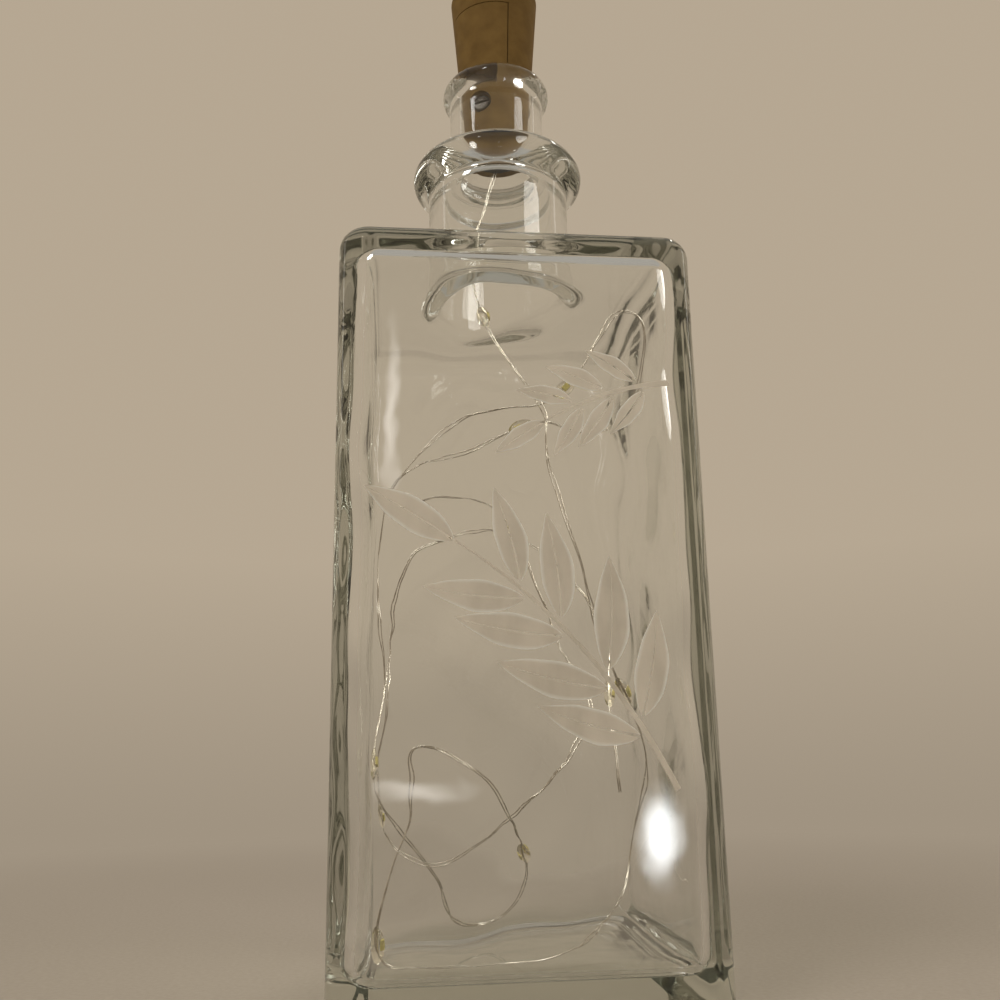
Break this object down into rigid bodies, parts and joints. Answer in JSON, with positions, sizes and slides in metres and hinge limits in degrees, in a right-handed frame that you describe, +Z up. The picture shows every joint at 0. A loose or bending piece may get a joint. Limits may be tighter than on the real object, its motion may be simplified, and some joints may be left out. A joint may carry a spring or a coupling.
{
  "type": "cork bottle light",
  "caption": "Clear square glass bottle closed by a cork-shaped battery light, with a fine wire of resin light drops looped inside it.",
  "frame": {"origin": "middle of the bottle's base, on the plane that it stands on", "axes": "+Z up along the bottle's axis to the cork, -Y out of the front face, +X to the right of it"},
  "size_m": [0.07, 0.07, 0.224],
  "materials": {
    "clear_glass": "clear with a pale green tint, frosted leaf design on the front",
    "cork_plastic": "satin, cork coloured",
    "board": "lacquered",
    "component_black": "satin",
    "switch_black": "fine matt",
    "cell_steel": "brushed",
    "contact_nickel": "nickel plated",
    "screw_steel": "dark plated",
    "relief_rubber": "matt",
    "lead_red": "insulated lead",
    "lead_black": "insulated lead",
    "silver_wire": "silver coloured enamelled copper",
    "clear_resin": "clear glossy resin",
    "light_chip": "yellow phosphor"
  },
  "bodies": {
    "bottle": {"bottle": "clear_glass", "light_wire": "silver_wire", "led_chip_01": "light_chip", "led_chip_02": "light_chip", "led_chip_03": "light_chip", "led_chip_04": "light_chip", "led_chip_05": "light_chip", "led_chip_06": "light_chip", "led_chip_07": "light_chip", "led_chip_08": "light_chip", "led_chip_09": "light_chip", "led_chip_10": "light_chip", "led_drop_01": "clear_resin", "led_drop_02": "clear_resin", "led_drop_03": "clear_resin", "led_drop_04": "clear_resin", "led_drop_05": "clear_resin", "led_drop_06": "clear_resin", "led_drop_07": "clear_resin", "led_drop_08": "clear_resin", "led_drop_09": "clear_resin", "led_drop_10": "clear_resin"},
    "cork": {"cork_body": "cork_plastic", "top_cap": "cork_plastic", "circuit_board": "board", "resistor": "component_black", "switch_body": "contact_nickel", "button_cell_1": "cell_steel", "button_cell_2": "cell_steel", "button_cell_3": "cell_steel", "positive_contact": "contact_nickel", "negative_contact": "contact_nickel", "strain_relief": "relief_rubber", "pinch_screw": "screw_steel", "lead_positive": "lead_red", "lead_negative": "lead_black"},
    "cover": {"battery_cover": "cork_plastic"},
    "slider": {"switch_slider": "switch_black"}
  },
  "joints": [
    {"name": "cork_pull", "type": "slide", "parent": "bottle", "child": "cork", "axis": [0, 0, 1], "range_m": [0, 0.045], "deforming": ["light_wire"]},
    {"name": "cover_lift", "type": "slide", "parent": "cork", "child": "cover", "axis": [-0.682, -0.7314, 0], "range_m": [0, 0.015]},
    {"name": "switch_slide", "type": "slide", "parent": "cork", "child": "slider", "axis": [1, 0, 0], "range_m": [0, 0.002]}
  ]
}
